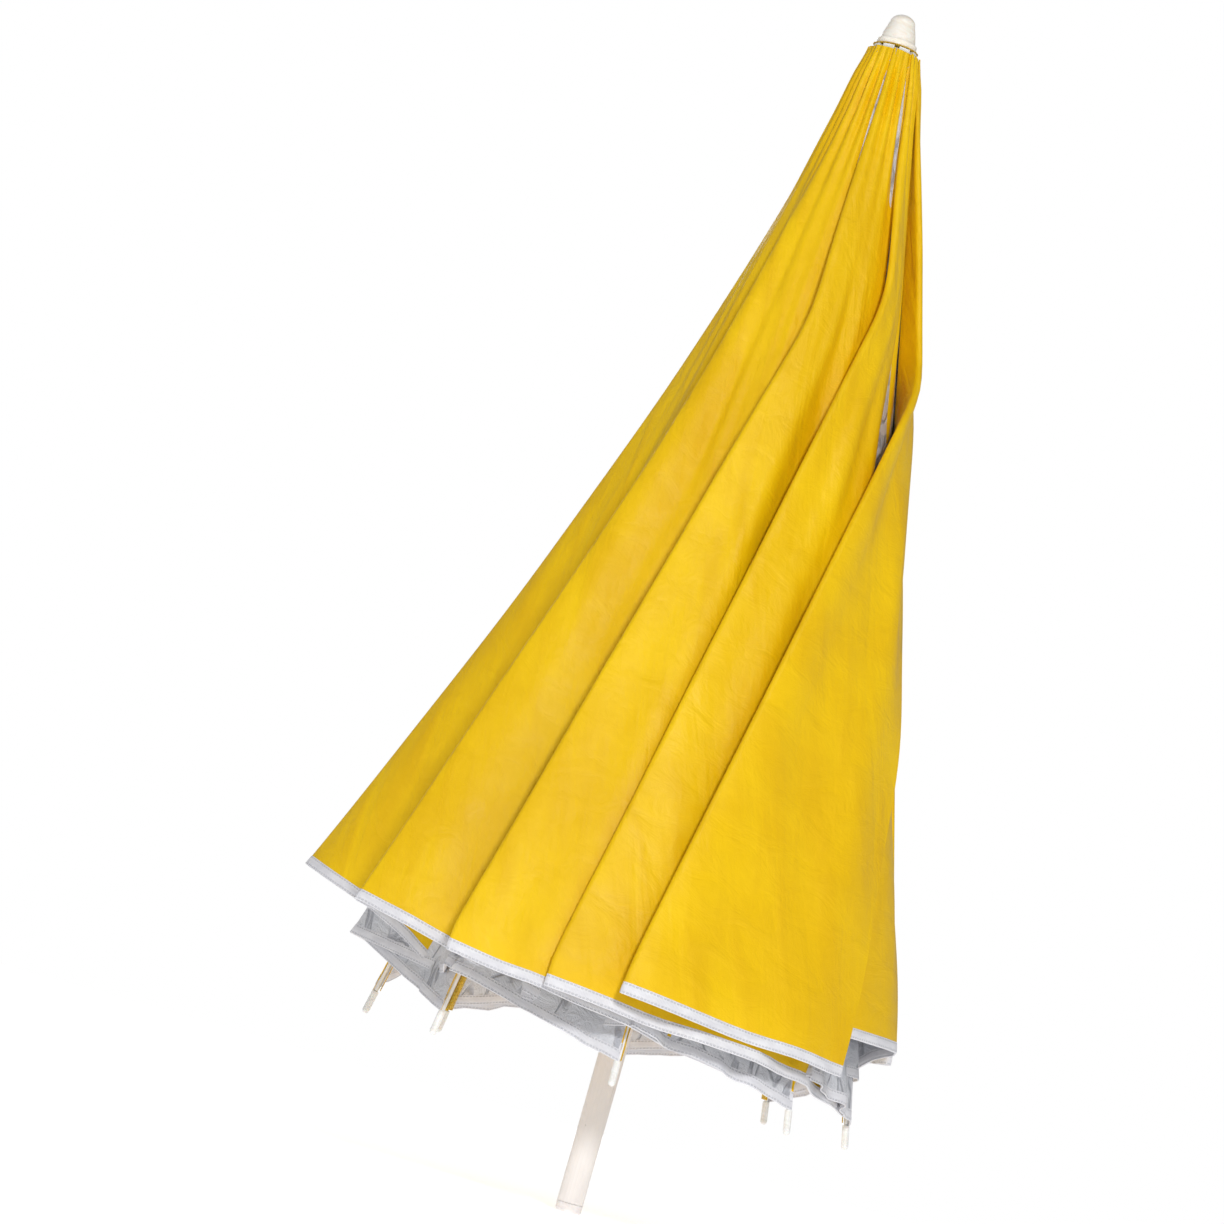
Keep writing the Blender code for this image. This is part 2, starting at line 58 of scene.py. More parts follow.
GORES = 8
STEP = 2 * math.pi / GORES
JOINTS = {joint["name"]: joint for joint in frame["joints"]}
RING_RADIUS = JOINTS["fold_1"]["pos_m"][0]
CROWN_Z = JOINTS["fold_1"]["pos_m"][2]
RIB_ANGLE = math.radians(12.0)
FOLD_TURN = math.radians(JOINTS["fold_1"]["range_deg"][1])
CLOTH = 0.0010  # thickness of the outer halves, which have slack tucked into them
INNER_CLOTH = 0.0004
LYING = 0.00245  # from a rib's centre to the middle of the cloth on it
HEM_ON_RIB = 0.888  # from the hinge along a rib
GORE_HALF_ANGLE = math.asin(math.sin(RIB_ANGLE + FOLD_TURN) * math.sin(STEP / 2))
CLOTH_TOP_Z = 1.0055
CLOTH_TOP_RADIUS = 0.0197
CLOTH_TOP_SETTLE = 0.06  # the drop over which the cloth comes down on to the ribs
FOLD_DROP = 0.810  # from the cloth's top to the height at which the folds are given
LAYER = 0.0038  # the rise from one layer of gathered cloth to the next
DIP = 0.055  # of the radius, between two ribs
LEAST_WRAP = math.radians(4.0)  # from a gore's first rib to its fold
TAPE_WIDTH = 0.0085
TAPE_PROUD = 0.00045
CURL = 0.0024  # radius of the rounded fold
LEAST_RETURN = 0.010  # of cloth that runs back beneath a flap at the hem
RETURN_STEPS = 8
OPEN_SAG = 0.016  # of a gore between its ribs, at the hem
INNER_OVERLAP = 0.010  # of an inner half, past its outer half's edge when opened
INNER_DEPTH = 0.0012  # of an inner half beneath the outer one when opened, and as much again at its edge
SEAM_TUCK = 0.0048  # of an inner half beneath its rib when opened
CLOSED_LEAN = math.radians(10.0)  # from the tangent, of an inner half at its joint's limit

# For each gore's fold: x high up, the share of the length where its line starts, x at the hem, its
# radius there, the power of its flare, and whether it is on the back
FOLDS = (
    (0.092, 0.33, -0.010, 0.2425, 1.00, False),
    (0.030, 0.12, 0.222, 0.232, 1.00, True),
    (0.006, 0.12, 0.100, 0.235, 1.00, True),
    (-0.026, 0.12, -0.100, 0.245, 1.00, True),
    (-0.025, 0.12, -0.288, 0.290, 1.30, False),
    (0.0025, 0.10, -0.225, 0.283, 1.25, False),
    (0.036, 0.10, -0.1455, 0.267, 1.15, False),
    (0.060, 0.19, -0.0655, 0.2440, 1.05, False),
)

# For each gore: the cloth's length at the fold, and how strong its creases are
FOLD_LENGTHS = (0.8570, 0.846, 0.846, 0.846, 0.8335, 0.852, 0.8655, 0.8660)
CREASES = (3.6, 0.5, 0.5, 0.5, 2.0, 2.2, 2.4, 3.6)
GATHERS = 24  # round the cloth's top

# The gore whose outer half has a pleat, and its pleat as pairs of place across it and share of its turn
PLEATED = 0
PLEAT = ((0.0, 0.0), (0.44, 0.665), (0.50, 0.600), (1.0, 1.0))
PLEAT_STARTS = 0.42  # the share of the drop at which it starts
PLEAT_RISE = 0.013
PLEAT_LIFT = 0.040  # how much shorter its under layer hangs
PANEL_BULGE = 0.026  # of the under layer beside it
PANEL_SLACK = 0.006


# ---- Camera, light and floor

FRAME_WIDTH = 1.0141
FLOOR_RADIUS = 3.0
FLOOR_SIDES = 96
WORLD_LIGHT = 0.30


def place_camera():
    """Looks from the front and a little below, leaning so that the pole's top goes to the right."""
    target = Vector((-0.0995, 0.0, 0.4845))
    rise, lean, distance = math.radians(-5.5), math.radians(15.85), 3.5
    back = Vector((0, -math.cos(rise), math.sin(rise)))
    up = Vector((-math.sin(lean), 0, math.cos(lean)))
    side = up.cross(back).normalized()
    up = back.cross(side).normalized()
    data = bpy.data.cameras.new("camera")
    data.sensor_width = 36.0
    data.lens = data.sensor_width * distance / FRAME_WIDTH
    data.clip_end = 60.0
    camera = bpy.data.objects.new("camera", data)
    matrix = Matrix((side, up, back)).transposed().to_4x4()
    matrix.translation = target + back * distance
    camera.matrix_world = matrix
    bpy.context.scene.collection.objects.link(camera)
    bpy.context.scene.camera = camera


def area_light(name, place, aim, size, power):
    data = bpy.data.lights.new(name, "AREA")
    data.shape = "DISK"
    data.size = size
    data.energy = power
    lamp = bpy.data.objects.new(name, data)
    lamp.location = place
    lamp.rotation_euler = (Vector(aim) - Vector(place)).to_track_quat("-Z", "Y").to_euler()
    bpy.context.scene.collection.objects.link(lamp)


def studio():
    """Even light from a world that the camera sees as white, three lamps and a pale floor."""
    scene = bpy.context.scene
    scene.view_settings.view_transform = "Standard"
    scene.view_settings.look = "None"
    world = bpy.data.worlds.new("studio")
    scene.world = world
    world.use_nodes = True
    nodes, links = world.node_tree.nodes, world.node_tree.links
    soft = nodes["Background"]
    soft.inputs["Color"].default_value = (1, 1, 1, 1)
    soft.inputs["Strength"].default_value = WORLD_LIGHT
    seen = nodes.new("ShaderNodeBackground")
    seen.inputs["Color"].default_value = (1, 1, 1, 1)
    path = nodes.new("ShaderNodeLightPath")
    mix = nodes.new("ShaderNodeMixShader")
    links.new(path.outputs["Is Camera Ray"], mix.inputs["Fac"])
    links.new(soft.outputs["Background"], mix.inputs[1])
    links.new(seen.outputs["Background"], mix.inputs[2])
    links.new(mix.outputs["Shader"], nodes["World Output"].inputs["Surface"])

    aim = (0, 0, 0.5)
    area_light("key", (0.45, -3.2, 1.6), aim, 0.45, 57)
    area_light("fill", (-2.8, -1.8, 1.2), aim, 1.6, 5)
    area_light("rim", (-0.4, 3.2, 1.8), aim, 1.8, 20)

    turns = np.linspace(0, 2 * math.pi, FLOOR_SIDES + 1)[:-1]
    around = [(FLOOR_RADIUS * math.cos(a), FLOOR_RADIUS * math.sin(a), -0.0005) for a in turns]
    mesh = bpy.data.meshes.new("floor")
    mesh.from_pydata(around, [], [list(range(FLOOR_SIDES))])
    floor = bpy.data.objects.new("floor", mesh)
    scene.collection.objects.link(floor)
    look = bpy.data.materials.new("floor")
    look.use_nodes = True
    shader = look.node_tree.nodes["Principled BSDF"]
    shader.inputs["Base Color"].default_value = (0.92, 0.92, 0.92, 1)
    shader.inputs["Roughness"].default_value = 1.0
    shader.inputs["Specular IOR Level"].default_value = 0.0
    shader.inputs["Emission Color"].default_value = (1, 1, 1, 1)
    shader.inputs["Emission Strength"].default_value = 0.66
    mesh.materials.append(look)


# ---- Materials


class Look:
    """A node material under construction."""

    def __init__(self, name):
        self.material = bpy.data.materials.new(name)
        self.material.use_nodes = True
        tree = self.material.node_tree
        self.nodes, self.links = tree.nodes, tree.links
        self.shader = self.nodes["Principled BSDF"]
        self.height = None

    def put(self, socket, value):
        if hasattr(value, "is_output"):
            self.links.new(value, socket)
        elif hasattr(socket.default_value, "__len__") and not hasattr(value, "__len__"):
            socket.default_value = (value,) * len(socket.default_value)
        else:
            socket.default_value = value

    def set(self, **values):
        for name, value in values.items():
            self.put(self.shader.inputs[name.replace("_", " ")], value)
        return self

    def place(self, kind="UV", scale=(1, 1, 1)):
        source = self.nodes.new("ShaderNodeTexCoord")
        mapping = self.nodes.new("ShaderNodeMapping")
        mapping.inputs["Scale"].default_value = scale
        self.links.new(source.outputs[kind], mapping.inputs["Vector"])
        return mapping.outputs["Vector"]

    def noise(self, place, scale, detail=3.0, rough=0.5, distortion=0.0):
        node = self.nodes.new("ShaderNodeTexNoise")
        self.put(node.inputs["Vector"], place)
        node.inputs["Scale"].default_value = scale
        node.inputs["Detail"].default_value = detail
        node.inputs["Roughness"].default_value = rough
        node.inputs["Distortion"].default_value = distortion
        return node.outputs["Fac"]

    def cells(self, place, scale, feature="DISTANCE_TO_EDGE"):
        node = self.nodes.new("ShaderNodeTexVoronoi")
        node.feature = feature
        self.put(node.inputs["Vector"], place)
        node.inputs["Scale"].default_value = scale
        return node.outputs["Distance"]

    def wave(self, place, scale, direction="X", distortion=0.0):
        node = self.nodes.new("ShaderNodeTexWave")
        node.bands_direction = direction
        self.put(node.inputs["Vector"], place)
        node.inputs["Scale"].default_value = scale
        node.inputs["Distortion"].default_value = distortion
        return node.outputs["Fac"]

    def maths(self, operation, a, b=0.0):
        node = self.nodes.new("ShaderNodeMath")
        node.operation = operation
        self.put(node.inputs[0], a)
        self.put(node.inputs[1], b)
        return node.outputs[0]

    def between(self, value, low, high, out_low=0.0, out_high=1.0):
        node = self.nodes.new("ShaderNodeMapRange")
        node.interpolation_type = "SMOOTHSTEP"
        self.put(node.inputs["Value"], value)
        limits = {"From Min": low, "From Max": high, "To Min": out_low, "To Max": out_high}
        for name, number in limits.items():
            node.inputs[name].default_value = number
        return node.outputs["Result"]

    def mixed(self, share, a, b):
        node = self.nodes.new("ShaderNodeMix")
        node.data_type = "RGBA"
        self.put(node.inputs["Factor"], share)
        self.put(node.inputs[6], a)
        self.put(node.inputs[7], b)
        return node.outputs[2]

    def raised(self, *layers):
        """Adds bump, as pairs of a height from 0 to 1 and how far that reaches, in metres."""
        for height, distance in layers:
            node = self.nodes.new("ShaderNodeBump")
            node.inputs["Strength"].default_value = 1.0
            node.inputs["Distance"].default_value = distance
            self.put(node.inputs["Height"], height)
            if self.height is not None:
                self.links.new(self.height, node.inputs["Normal"])
            self.height = node.outputs["Normal"]
        self.links.new(self.height, self.shader.inputs["Normal"])
        return self


def rgb(red, green, blue):
    """The linear colour of an 8-bit sRGB one."""
    parts = [c / 255 for c in (red, green, blue)]
    return (*[c / 12.92 if c <= 0.04045 else ((c + 0.055) / 1.055) ** 2.4 for c in parts], 1)


def stitches(look, place, across, per_metre=330):
    """A mask of short stitches on a line at a place across a strip, whose own width is 0 to 1."""
    parts = look.nodes.new("ShaderNodeSeparateXYZ")
    look.links.new(place, parts.inputs[0])
    dash = look.maths("FRACT", look.maths("MULTIPLY", parts.outputs["Y"], float(per_metre)))
    on = look.between(look.maths("ABSOLUTE", look.maths("SUBTRACT", dash, 0.5)), 0.38, 0.28)
    off_line = look.maths("ABSOLUTE", look.maths("SUBTRACT", parts.outputs["X"], across))
    return look.maths("MULTIPLY", on, look.between(off_line, 0.085, 0.045))


def taffeta(name, shift=0.0):
    """Yellow satin taffeta: mottled dye, crinkles, soft creases down the cloth with painted shade along them,
    and a fine weave with a painted glint on its crossings.
    """
    look = Look(name)
    flat = look.place()
    streaked = look.place(scale=(1.0, 0.16, 1.0))
    mottle = look.noise(flat, 9.0 + shift, 4.0, 0.55)
    creases_and_shade = look.noise(streaked, 46.0 + 3 * shift, 3.0, 0.5, 0.6)
    crinkle = look.noise(flat, 42.0 + 2 * shift, 5.0, 0.55, 0.7)
    weave_and_glint = look.maths("MULTIPLY", look.wave(flat, 640.0, "X"), look.wave(flat, 640.0, "Y"))
    tone = look.mixed(look.between(mottle, 0.3, 0.7), rgb(229, 183, 0), rgb(240, 197, 3))
    # painted shade: the cloth is darkened along the creases that run down it
    tone = look.mixed(look.between(creases_and_shade, 0.42, 0.75, 0.0, 0.5), tone, rgb(221, 172, 0))
    # painted glint: the weave's thread crossings are painted paler
    tone = look.mixed(look.between(weave_and_glint, 0.2, 0.9, 0.0, 0.10), tone, rgb(250, 214, 24))
    gloss = look.between(crinkle, 0.3, 0.7, 0.38, 0.52)
    look.set(Base_Color=tone, Roughness=gloss, Sheen_Weight=0.03, Sheen_Roughness=0.4)
    look.set(Specular_IOR_Level=0.26)
    look.raised((crinkle, 0.0016), (creases_and_shade, 0.0022), (weave_and_glint, 0.00005))
    return look.material


def lining():
    """The silver coat inside: pale, faintly metallic, with painted grey shade along its creases and a painted
    glint on the weave.
    """
    look = Look("silver_lining")
    flat = look.place()
    cloud = look.noise(flat, 14.0, 4.0, 0.6)
    crinkle = look.noise(flat, 80.0, 6.0, 0.65, 1.4)
    crease = look.noise(look.place(scale=(1.0, 0.4, 1.0)), 26.0, 3.0, 0.5, 1.6)
    fold_and_shade = look.between(look.maths("ABSOLUTE", look.maths("SUBTRACT", crease, 0.5)), 0.0, 0.05)
    weave_and_glint = look.maths("MULTIPLY", look.wave(flat, 640.0, "X"), look.wave(flat, 640.0, "Y"))
    tone = look.mixed(look.between(cloud, 0.3, 0.7), rgb(204, 206, 212), rgb(228, 229, 234))
    # painted shade: the cloth is darkened to grey along the creases
    tone = look.mixed(fold_and_shade, rgb(172, 174, 182), tone)
    # painted glint: the weave's thread crossings are painted near white
    tone = look.mixed(look.between(weave_and_glint, 0.2, 0.9, 0.0, 0.08), tone, rgb(250, 250, 252))
    gloss = look.between(crinkle, 0.3, 0.7, 0.32, 0.52)
    look.set(Base_Color=tone, Roughness=gloss, Metallic=0.15, Specular_IOR_Level=0.5)
    look.raised((fold_and_shade, 0.0010), (crinkle, 0.0020), (weave_and_glint, 0.00005))
    return look.material


def hem_tape():
    """White ribbed binding tape, folded over the hem and sewn with two rows of stitches, with painted shade
    in bands along its ribs.
    """
    look = Look("hem_tape")
    strip = look.place()
    ribs_and_shade = look.wave(strip, 260.0, "Y")
    soil = look.noise(look.place(scale=(0.02, 1, 1)), 40.0, 4.0, 0.6)
    sewn = look.maths("MAXIMUM", stitches(look, strip, 0.14), stitches(look, strip, 0.86))
    tone = look.mixed(look.between(soil, 0.35, 0.7), rgb(214, 214, 220), rgb(232, 232, 236))
    # painted shade: darker grey bands along the ribs
    tone = look.mixed(look.between(ribs_and_shade, 0.2, 0.8, 0.0, 0.12), tone, rgb(196, 197, 204))
    tone = look.mixed(look.maths("MULTIPLY", sewn, 0.5), tone, rgb(176, 178, 186))
    look.set(Base_Color=tone, Roughness=look.between(soil, 0.3, 0.7, 0.5, 0.7), Sheen_Weight=0.1)
    look.raised((ribs_and_shade, 0.00012), (look.maths("SUBTRACT", 1.0, sewn), 0.0003))
    return look.material


def seam_cloth():
    """The felled seam over each rib: the canopy's cloth with two rows of stitches."""
    look = Look("seam_cloth")
    strip = look.place()
    pucker = look.wave(strip, 95.0, "Y", 2.5)
    cloud = look.noise(look.place(scale=(0.02, 1, 1)), 60.0, 4.0, 0.6)
    sewn = look.maths("MAXIMUM", stitches(look, strip, 0.25), stitches(look, strip, 0.75))
    tone = look.mixed(look.between(cloud, 0.3, 0.7), rgb(226, 180, 6), rgb(238, 194, 14))
    tone = look.mixed(look.maths("MULTIPLY", sewn, 0.8), tone, rgb(250, 226, 110))
    look.set(Base_Color=tone, Roughness=look.between(cloud, 0.3, 0.7, 0.42, 0.55), Sheen_Weight=0.18)
    look.raised((pucker, 0.0004), (look.maths("SUBTRACT", 1.0, sewn), 0.0003))
    return look.material


def paint(name, light, dark, roughness, chips=0.0):
    """White paint or powder coat: orange peel, faint grime, hairline rubs and a few chips."""
    look = Look(name)
    place = look.place("Object")
    peel = look.noise(place, 900.0, 2.0, 0.5)
    grime = look.noise(look.place("Object", (1, 1, 0.25)), 22.0, 5.0, 0.6)
    rubs = look.noise(look.place("Object", (1, 1, 0.06)), 420.0, 3.0, 0.6)
    chip = look.between(look.noise(place, 130.0, 4.0, 0.6), 0.74 - chips, 0.78 - chips)
    tone = look.mixed(look.between(grime, 0.45, 0.75, 0.0, 0.8), light, dark)
    tone = look.mixed(look.between(rubs, 0.66, 0.72, 0.0, 0.35), tone, rgb(176, 174, 168))
    tone = look.mixed(look.maths("MULTIPLY", chip, 0.5), tone, rgb(150, 148, 144))
    look.set(Base_Color=tone, Roughness=look.between(rubs, 0.4, 0.7, roughness, roughness + 0.2))
    look.raised((peel, 0.00005), (look.maths("SUBTRACT", 1.0, chip), 0.00008), (rubs, 0.00003))
    return look.material


def plastic(name, light, dark, roughness):
    """Moulded plastic: fine pebble, flow marks and slight yellowing in patches."""
    look = Look(name)
    place = look.place("Object")
    pebble = look.cells(place, 1500.0, "F1")
    flow = look.noise(look.place("Object", (1, 1, 3)), 60.0, 4.0, 0.6, 1.5)
    scuffs = look.noise(look.place("Object", (4, 1, 0.3)), 350.0, 3.0, 0.6)
    tone = look.mixed(look.between(flow, 0.35, 0.75), light, dark)
    tone = look.mixed(look.between(scuffs, 0.68, 0.74, 0.0, 0.4), tone, rgb(196, 194, 186))
    look.set(Base_Color=tone, Roughness=look.between(flow, 0.3, 0.7, roughness, roughness + 0.12))
    look.set(Subsurface_Weight=0.04, Subsurface_Scale=0.002)
    look.raised((pebble, 0.00003), (flow, 0.0001), (scuffs, 0.00003))
    return look.material


def wire_steel(name):
    """Drawn galvanised wire: draw lines, spangle and a little dull oxide."""
    look = Look(name)
    place = look.place("Object")
    drawn = look.noise(look.place("Object", (1, 1, 0.05)), 900.0, 3.0, 0.6)
    spangle = look.cells(place, 420.0, "F1")
    oxide = look.noise(place, 160.0, 5.0, 0.65)
    tone = look.mixed(look.between(spangle, 0.1, 0.7), rgb(170, 173, 178), rgb(205, 207, 211))
    tone = look.mixed(look.between(oxide, 0.55, 0.75, 0.0, 0.5), tone, rgb(132, 128, 122))
    look.set(Base_Color=tone, Metallic=0.9, Roughness=look.between(oxide, 0.3, 0.7, 0.28, 0.5))
    look.raised((drawn, 0.00004), (spangle, 0.00003))
    return look.material


# ---- Mesh building


def smooth01(x):
    x = np.clip(x, 0, 1)
    return x * x * (3 - 2 * x)


def piece_from(name, points, faces, looks, indices=None, uvs=None, sharp=50):
    """An object from arrays of points and faces, with a look's index for each face and a UV for each
    point."""
    mesh = bpy.data.meshes.new(name)
    mesh.from_pydata([tuple(p) for p in points], [], [list(map(int, f)) for f in faces])
    for look in looks:
        mesh.materials.append(look)
    if indices is not None:
        mesh.polygons.foreach_set("material_index", np.asarray(indices, np.int32))
    if uvs is not None:
        layer = mesh.uv_layers.new(name="flat")
        corners = np.empty(len(mesh.loops), np.int32)
        mesh.loops.foreach_get("vertex_index", corners)
        layer.data.foreach_set("uv", np.asarray(uvs, np.float32)[corners].ravel())
    mesh.validate()
    mesh.update()
    mesh.shade_smooth()
    mesh.set_sharp_from_angle(angle=math.radians(sharp))
    obj = bpy.data.objects.new(name, mesh)
    bpy.context.scene.collection.objects.link(obj)
    return obj


def normals_of(grid):
    """The unit normals of a grid of points, rows first."""
    down = np.gradient(grid, axis=0)
    side = np.gradient(grid, axis=1)
    normal = np.cross(down, side)
    return normal / np.maximum(np.linalg.norm(normal, axis=2, keepdims=True), 1e-12)


def shell(name, grid, thickness, looks, uv):
    """A closed sheet on a grid: the first look outside, the second inside, the first on the rim."""
    rows, columns = grid.shape[:2]
    normal = normals_of(grid)
    sides = grid + normal * thickness / 2, grid - normal * thickness / 2
    points = np.concatenate([side.reshape(-1, 3) for side in sides])
    index = np.arange(rows * columns).reshape(rows, columns)
    a, b = index[:-1, :-1].ravel(), index[:-1, 1:].ravel()
    c, d = index[1:, 1:].ravel(), index[1:, :-1].ravel()
    outer = np.stack([a, d, c, b], 1)
    inner = np.stack([a, b, c, d], 1) + rows * columns
    edge = np.concatenate([index[0, :-1], index[:-1, -1], index[-1, :0:-1], index[:0:-1, 0]])
    following = np.roll(edge, -1)
    rim = np.stack([edge, following, following + rows * columns, edge + rows * columns], 1)
    faces = np.concatenate([outer, inner, rim])
    indices = np.concatenate([np.zeros(len(outer)), np.ones(len(inner)), np.zeros(len(rim))])
    uvs = np.concatenate([uv.reshape(-1, 2)] * 2)
    return piece_from(name, points, faces, looks, indices, uvs)


def closed_strip(name, sections, look, uv):
    """A tube of closed cross-sections, rows first, with its two ends capped."""
    rows, around = sections.shape[:2]
    index = np.arange(rows * around).reshape(rows, around)
    turned = np.roll(index, -1, axis=1)
    faces = [*np.stack([index[:-1], turned[:-1], turned[1:], index[1:]], 2).reshape(-1, 4)]
    faces += [index[0, ::-1], index[-1]]
    return piece_from(name, sections.reshape(-1, 3), faces, [look], None, uv.reshape(-1, 2), 60)


def bend(piece, weights):
    """Writes a value made from each point's share into the points for a moment, bakes the piece's transform
    and puts the points back, so the piece keeps its shape and is tied to no body.
    """
    mesh = piece.data
    rest = np.empty(len(mesh.vertices) * 3, np.float32)
    mesh.vertices.foreach_get("co", rest)
    flat = np.zeros((len(mesh.vertices), 3), np.float32)
    flat[:, 0] = 0.5 - np.sin(np.arcsin(1 - 2 * np.clip(weights, 0, 1)) / 3)
    mesh.vertices.foreach_set("co", flat.ravel())
    mesh.update()
    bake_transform(piece)
    mesh.vertices.foreach_set("co", rest)
    mesh.update()


def lathe(name, outline, look, around=96):
    """A closed shape turned about the pole, from an outline of radius and height that starts and ends
    on the axis."""
    points, faces, rings = [], [], []
    for radius, height in outline:
        if radius < 1e-7:
            rings.append([len(points)] * around)
            points.append((0, 0, height))
            continue
        rings.append(list(range(len(points), len(points) + around)))
        turns = [2 * math.pi * i / around for i in range(around)]
        points += [(radius * math.cos(turn), radius * math.sin(turn), height) for turn in turns]
    for upper, lower in zip(rings, rings[1:]):
        for i in range(around):
            j = (i + 1) % around
            corners = [upper[i], lower[i], lower[j], upper[j]]
            faces.append(list(dict.fromkeys(corners)))
    return piece_from(name, points, faces, [look], None, None, 35)


# ---- Canopy at rest


def rib_azimuth(number):
    return STEP * (number - 1)


def length_at(gore, across):
    """The cloth's length from its top to the hem: the full length on a rib, and shorter at the fold."""
    least = math.cos(GORE_HALF_ANGLE)
    share = (least / np.cos((1 - across) * GORE_HALF_ANGLE) - least) / (1 - least)
    length = FOLD_LENGTHS[gore] + (HEM_ON_RIB - FOLD_LENGTHS[gore]) * share
    return length - (pleat_lift(across) if gore == PLEATED else 0)


def on_ribs(drop):
    """The radius of cloth that lies on the ribs."""
    lying = LYING / math.cos(RIB_ANGLE)
    above_ring = CLOTH_TOP_Z - CROWN_Z
    on_rib = RING_RADIUS + (drop - above_ring) * math.tan(RIB_ANGLE) + lying
    at_top = RING_RADIUS - above_ring * math.tan(RIB_ANGLE) + lying
    return on_rib + (CLOTH_TOP_RADIUS - at_top) * np.maximum(0, 1 - drop / CLOTH_TOP_SETTLE)


def fold_radius_at(gore, share):
    radius, flare = FOLDS[gore][3:5]
    return CLOTH_TOP_RADIUS + (radius - CLOTH_TOP_RADIUS) * np.minimum(1, share) ** flare


def fold_azimuth_at(gore, share):
    x_top, share_top, x_hem, _, _, is_back = FOLDS[gore]
    line = np.clip(share, share_top, 1)
    x = x_top + (x_hem - x_top) * (line - share_top) / (1 - share_top)
    turn = np.arccos(np.clip(x / fold_radius_at(gore, line), -1, 1))
    azimuth = turn if is_back else 2 * math.pi - turn
    azimuth = np.where(azimuth > rib_azimuth(gore + 4), azimuth - 2 * math.pi, azimuth)
    return np.minimum(azimuth, rib_azimuth(gore + 1) - LEAST_WRAP)


FOLD_SHARES = np.linspace(-0.2, 1.3, 301)


def softened(values, reach=12):
    """A row of values averaged over their neighbours, with its ends carried on."""
    weights = np.hanning(2 * reach + 1)
    long = np.concatenate([np.full(reach, values[0]), values, np.full(reach, values[-1])])
    return np.convolve(long, weights / weights.sum(), mode="valid")


FOLD_AZIMUTHS = [softened(fold_azimuth_at(gore, np.clip(FOLD_SHARES, 0, 1))) for gore in range(GORES)]


def fold_radius(gore, share):
    return fold_radius_at(gore, np.maximum(share, 0))


def fold_azimuth(gore, share):
    return np.interp(share, FOLD_SHARES, FOLD_AZIMUTHS[gore])


def ripple(gore, share, azimuth, across):
    """Soft creases that run down the cloth, gathers under the cap and small crinkles."""
    seed = 1.7 * gore
    free = smooth01((across - 0.15) / 0.3) * (1 - 0.6 * smooth01((across - 0.85) / 0.15))
    down = smooth01((share - 0.08) / 0.5)
    long = np.sin(11 * across + 2.2 * share + seed) + 0.6 * np.sin(23 * across - 3.1 * share + 2.3 * seed)
    short = np.sin(37 * across + 9 * share + 3.1 * seed) * np.sin(14 * share - 5 * across + seed)
    creases = free * down * CREASES[gore] * (0.0014 * long + 0.0006 * short)
    gather = np.cos(GATHERS * azimuth) * np.exp(-((share - 0.035) / 0.13) ** 2)
    return creases + 0.0022 * gather * smooth01(share / 0.04)


def outer_radius(gore, drop, azimuth):
    """The radius of an outer half at a drop and azimuth: it dips between its first two ribs, rises
    over the layers under it and swells out to its fold."""
    share = drop / FOLD_DROP
    rib = rib_azimuth(gore + 2)
    across = np.clip((rib - azimuth) / (rib - fold_azimuth(gore, share)), 0, 1.2)
    lying = on_ribs(drop)
    passed = (rib - azimuth) / STEP
    first = np.clip(passed, 0, 1)
    dip = DIP * lying * smooth01((share - 0.22) / 0.3) * (1 - (1 - 2 * first) ** 4)
    rise = LAYER * np.clip(0.4 + 3 * share, 0, 1) * passed
    swell = np.maximum(0, fold_radius(gore, share) - lying) * across ** 2.5
    return lying + rise - dip + swell + ripple(gore, share, azimuth, across)


def pleat_lift(across):
    """How much shorter the pleat's under layer hangs."""
    return PLEAT_LIFT * smooth01(across / 0.2) * (1 - smooth01((across - 0.43) / 0.08))


def pleated(share, across):
    """The share of the turn to the fold, the pleat's rise, and how far a place is on its upper layer."""
    flat = np.interp(across, [a for a, b in PLEAT], [b for a, b in PLEAT])
    ridge = PLEAT[2][1]
    edge = 0.507 + 0.093 * (share - 0.53) / 0.47
    scaled = np.where(flat < ridge, flat * edge / ridge, edge + (flat - ridge) * (1 - edge) / (1 - ridge))
    grown = smooth01((share - PLEAT_STARTS) / 0.3)
    turn = across + (scaled - across) * grown
    over = smooth01((across - 0.44) / 0.06) * (1 - 0.7 * smooth01((across - 0.5) / 0.25))
    return turn, grown * PLEAT_RISE * over, over


def panel_rise(share, azimuth, over):
    """How far the pleat's under layer bulges out beside the pleat."""
    degrees = np.degrees(azimuth)
    bulge = smooth01((45 - degrees) / 36) * (1 - smooth01((-degrees - 4) / 36))
    slack = PANEL_SLACK * smooth01((40 - degrees) / 30) * smooth01((-degrees) / 30)
    grown = smooth01((share - 0.55) / 0.6) / smooth01(0.43 / 0.6)
    rise = PANEL_BULGE * grown * bulge - slack * smooth01((share - PLEAT_STARTS) / 0.3)
    return rise * (1 - over)


def outer_grid(gore, u, v):
    """The outer half at rest, from its second rib at v = 0 to the fold at v = 1; u runs down the cloth."""
    rib = rib_azimuth(gore + 2)
    length = u * length_at(gore, v)
    drop = length
    for _ in range(14):
        share = drop / FOLD_DROP
        turn, rise, over = pleated(share, v) if gore == PLEATED else (v, 0.0, 1.0)
        azimuth = rib + (fold_azimuth(gore, share) - rib) * turn
        if gore == PLEATED:
            rise = rise + panel_rise(share, azimuth, over)
        radius = outer_radius(gore, drop, azimuth) + rise
        drop = np.sqrt(np.maximum(0, length ** 2 - (radius - CLOTH_TOP_RADIUS) ** 2))
    return np.stack([radius * np.cos(azimuth), radius * np.sin(azimuth), CLOTH_TOP_Z - drop], -1)


def least_radius(drop, azimuth):
    """The radius of the outer half that lies nearest to the ribs at an azimuth."""
    turn = np.mod(azimuth, 2 * math.pi)
    radius = np.zeros_like(turn)
    for gore in range(GORES):
        own = (turn >= rib_azimuth(gore + 1)) & (turn < rib_azimuth(gore + 2))
        radius = np.where(own, outer_radius(gore, drop, turn), radius)
    return radius


